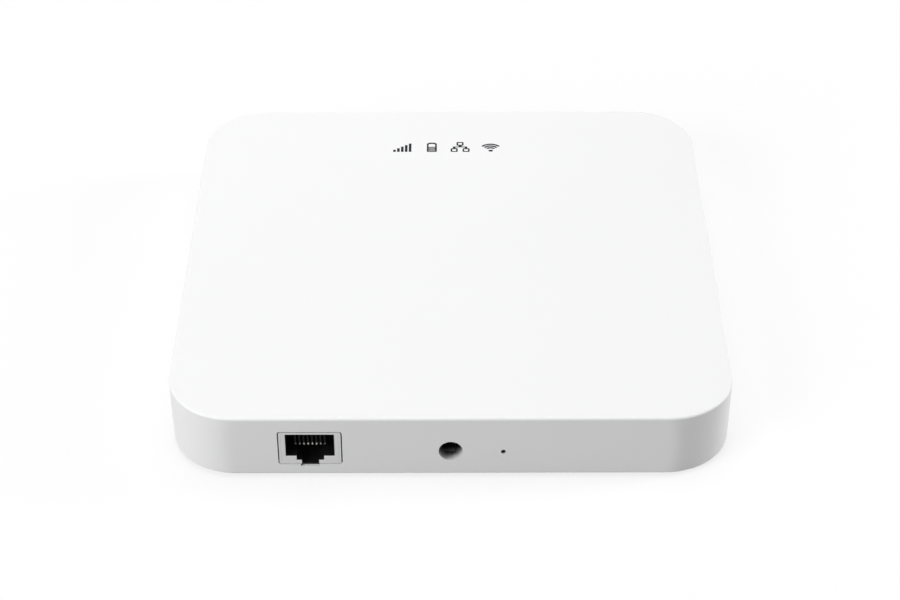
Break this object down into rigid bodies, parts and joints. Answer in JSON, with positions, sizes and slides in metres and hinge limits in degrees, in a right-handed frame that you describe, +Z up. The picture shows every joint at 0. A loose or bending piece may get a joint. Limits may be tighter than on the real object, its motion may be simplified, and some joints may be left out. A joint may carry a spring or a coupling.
{
  "type": "alarm hub",
  "caption": "Flat rounded-square home alarm hub with a shielded network socket, a round power inlet and a recessed reset button in its front wall and status pictograms on top.",
  "frame": {"origin": "middle of the hub's plan, on the ground plane under its feet", "axes": "+Z up out of the top face, -Y out of the front wall with the sockets, +X to the right seen from the front"},
  "size_m": [0.138, 0.138, 0.0186],
  "materials": {
    "white_shell": "white moulded plastic with a very fine satin grain",
    "white_base": "white moulded plastic, matt spark-eroded grain",
    "foot_rubber": "dark grey matt rubber",
    "screw_steel": "zinc-plated steel",
    "socket_metal": "satin nickel-plated sheet",
    "socket_black": "black moulded plastic",
    "contact_metal": "plated spring metal",
    "board_green": "green solder resist on glass-fibre board",
    "chip_black": "black moulded chip package",
    "can_metal": "tin-plated sheet can",
    "coil_grey": "dark ferrite",
    "capacitor_metal": "drawn aluminium can",
    "clear_guide": "clear moulded light guide",
    "baffle_black": "black moulded plastic",
    "led_white": "light-emitting diode with a pale lens",
    "thermal_grey": "soft grey heat pad",
    "antenna_film": "dark film over copper",
    "cable_black": "thin black cable jacket",
    "plated_brass": "gold-plated brass",
    "pouch_foil": "aluminium foil pouch",
    "foam_black": "black adhesive foam",
    "wire_red": "red wire insulation",
    "plug_cream": "cream moulded connector",
    "button_black": "black moulded button",
    "dome_steel": "spring steel disc"
  },
  "bodies": {
    "hub": {"top_shell": "white_shell", "base_plate": "white_base", "rubber_feet": "foot_rubber", "base_screws": "screw_steel", "main_board": "board_green", "board_screws": "screw_steel", "ethernet_shield": "socket_metal", "ethernet_insert": "socket_black", "ethernet_leads": "contact_metal", "ethernet_transformer": "chip_black", "power_jack_body": "socket_black", "power_jack_pin": "contact_metal", "power_jack_terminal": "contact_metal", "reset_switch_body": "button_black", "reset_switch_cover": "can_metal", "reset_dome": "dome_steel", "reset_switch_terminals": "contact_metal", "status_leds": "led_white", "light_baffle": "baffle_black", "light_guide": "clear_guide", "main_processor": "chip_black", "thermal_pad": "thermal_grey", "memory_chip": "chip_black", "processor_shield": "can_metal", "flash_chip": "chip_black", "cellular_module": "can_metal", "wifi_module": "can_metal", "mesh_radio_module": "can_metal", "cellular_antenna": "antenna_film", "antenna_cable": "cable_black", "antenna_plug": "plated_brass", "wifi_antenna": "plated_brass", "power_inductors": "coil_grey", "power_capacitors": "capacitor_metal", "battery_pad": "foam_black", "battery_cell": "pouch_foil", "battery_protection_board": "board_green", "battery_lead": "wire_red", "battery_socket": "plug_cream", "battery_plug": "plug_cream"},
    "ethernet_contacts": {"ethernet_contacts": "contact_metal"},
    "power_leaf": {"power_jack_spring": "contact_metal"},
    "reset_button": {"reset_plunger": "button_black"}
  },
  "joints": [
    {"name": "reset_press", "type": "slide", "parent": "hub", "child": "reset_button", "axis": [0, 1, 0], "range_m": [0, 0.00025], "stiffness_N_per_m": 6400, "deforming": ["reset_dome"]},
    {"name": "contact_lift", "type": "hinge", "parent": "hub", "child": "ethernet_contacts", "pos_m": [-0.03406, -0.068, 0.01285], "axis": [1, 0, 0], "range_deg": [0, 56], "stiffness_Nm_per_rad": 0.033},
    {"name": "power_leaf_press", "type": "hinge", "parent": "hub", "child": "power_leaf", "pos_m": [-0.0001, -0.058, 0.00505], "axis": [1, 0, 0], "range_deg": [0, 4.5], "stiffness_Nm_per_rad": 0.22}
  ]
}
